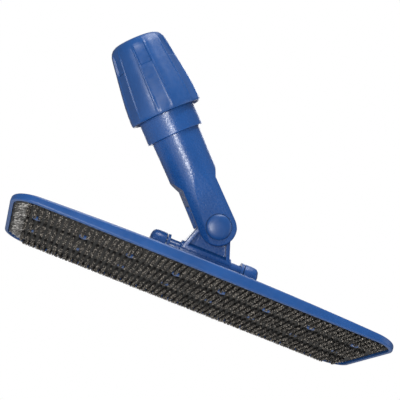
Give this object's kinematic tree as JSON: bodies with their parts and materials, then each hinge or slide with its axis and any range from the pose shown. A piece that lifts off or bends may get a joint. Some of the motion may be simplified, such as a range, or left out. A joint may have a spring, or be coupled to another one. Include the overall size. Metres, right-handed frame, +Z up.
{
  "type": "pool wall brush",
  "caption": "Oblong scrubbing brush head on a two-way swivel, with a forked socket and a tapered screw-down clamp collar that grips a pole",
  "frame": {"origin": "centre of the bristle tips, on the ground plane", "axes": "+X along the head plate, +Y across it, +Z up through the swivel; the pole socket leans towards -X and a little towards -Y at rest"},
  "size_m": [0.235, 0.095, 0.1364],
  "materials": {
    "blue_plastic": "moulded polypropylene, satin with a fine spark-eroded texture",
    "black_bristle": "short stiff nylon bristle",
    "black_mat": "bristle backing sheet",
    "white_acetal": "moulded acetal",
    "zinc_steel": "zinc plated"
  },
  "bodies": {
    "head": {"head_plate": "blue_plastic", "bristle_mat": "black_mat", "bristle_band_near": "black_bristle", "bristle_band_middle": "black_bristle", "bristle_band_far": "black_bristle", "mat_rivet_near_1": "blue_plastic", "mat_rivet_near_2": "blue_plastic", "mat_rivet_near_3": "blue_plastic", "mat_rivet_near_4": "blue_plastic", "mat_rivet_near_5": "blue_plastic", "mat_rivet_near_6": "blue_plastic", "mat_rivet_near_7": "blue_plastic", "mat_rivet_near_8": "blue_plastic", "mat_rivet_far_1": "blue_plastic", "mat_rivet_far_2": "blue_plastic", "mat_rivet_far_3": "blue_plastic", "mat_rivet_far_4": "blue_plastic", "mat_rivet_far_5": "blue_plastic", "mat_rivet_far_6": "blue_plastic", "mat_rivet_far_7": "blue_plastic", "mat_rivet_far_8": "blue_plastic", "bearing_cap_left": "blue_plastic", "bearing_cap_right": "blue_plastic", "cap_screw_left_near": "zinc_steel", "cap_screw_left_far": "zinc_steel", "cap_screw_right_near": "zinc_steel", "cap_screw_right_far": "zinc_steel"},
    "knuckle_body": {"knuckle": "blue_plastic", "trunnion_washer_left": "blue_plastic", "trunnion_washer_right": "blue_plastic", "pivot_bush": "white_acetal"},
    "yoke": {"pole_socket": "blue_plastic", "pivot_pin": "blue_plastic", "pivot_pin_cap": "blue_plastic", "friction_washer_near": "white_acetal", "friction_washer_far": "white_acetal"},
    "clamp_travel": {"wedge_ring": "white_acetal"},
    "collar": {"clamp_collar": "blue_plastic"}
  },
  "joints": [
    {"name": "knuckle_rock", "type": "hinge", "parent": "head", "child": "knuckle_body", "pos_m": [0, 0, 0.0223], "axis": [1, 0, 0], "range_deg": [-59.2, 30.8]},
    {"name": "yoke_swing", "type": "hinge", "parent": "knuckle_body", "child": "yoke", "pos_m": [0, -0.00491, 0.04169], "axis": [0, 0.9694, 0.2453], "range_deg": [-32.6, 123.4]},
    {"name": "collar_travel", "type": "slide", "parent": "yoke", "child": "clamp_travel", "axis": [-0.712, -0.1722, 0.6807], "range_m": [-0.0041, 0.0031]},
    {"name": "collar_turn", "type": "hinge", "parent": "clamp_travel", "child": "collar", "pos_m": [-0.0712, -0.02213, 0.10976], "axis": [-0.712, -0.1722, 0.6807], "range_deg": [-360, 270]}
  ],
  "couplings": [
    {"joint": "collar_travel", "follows": "collar_turn", "m_per_rad": 0.00063662}
  ]
}
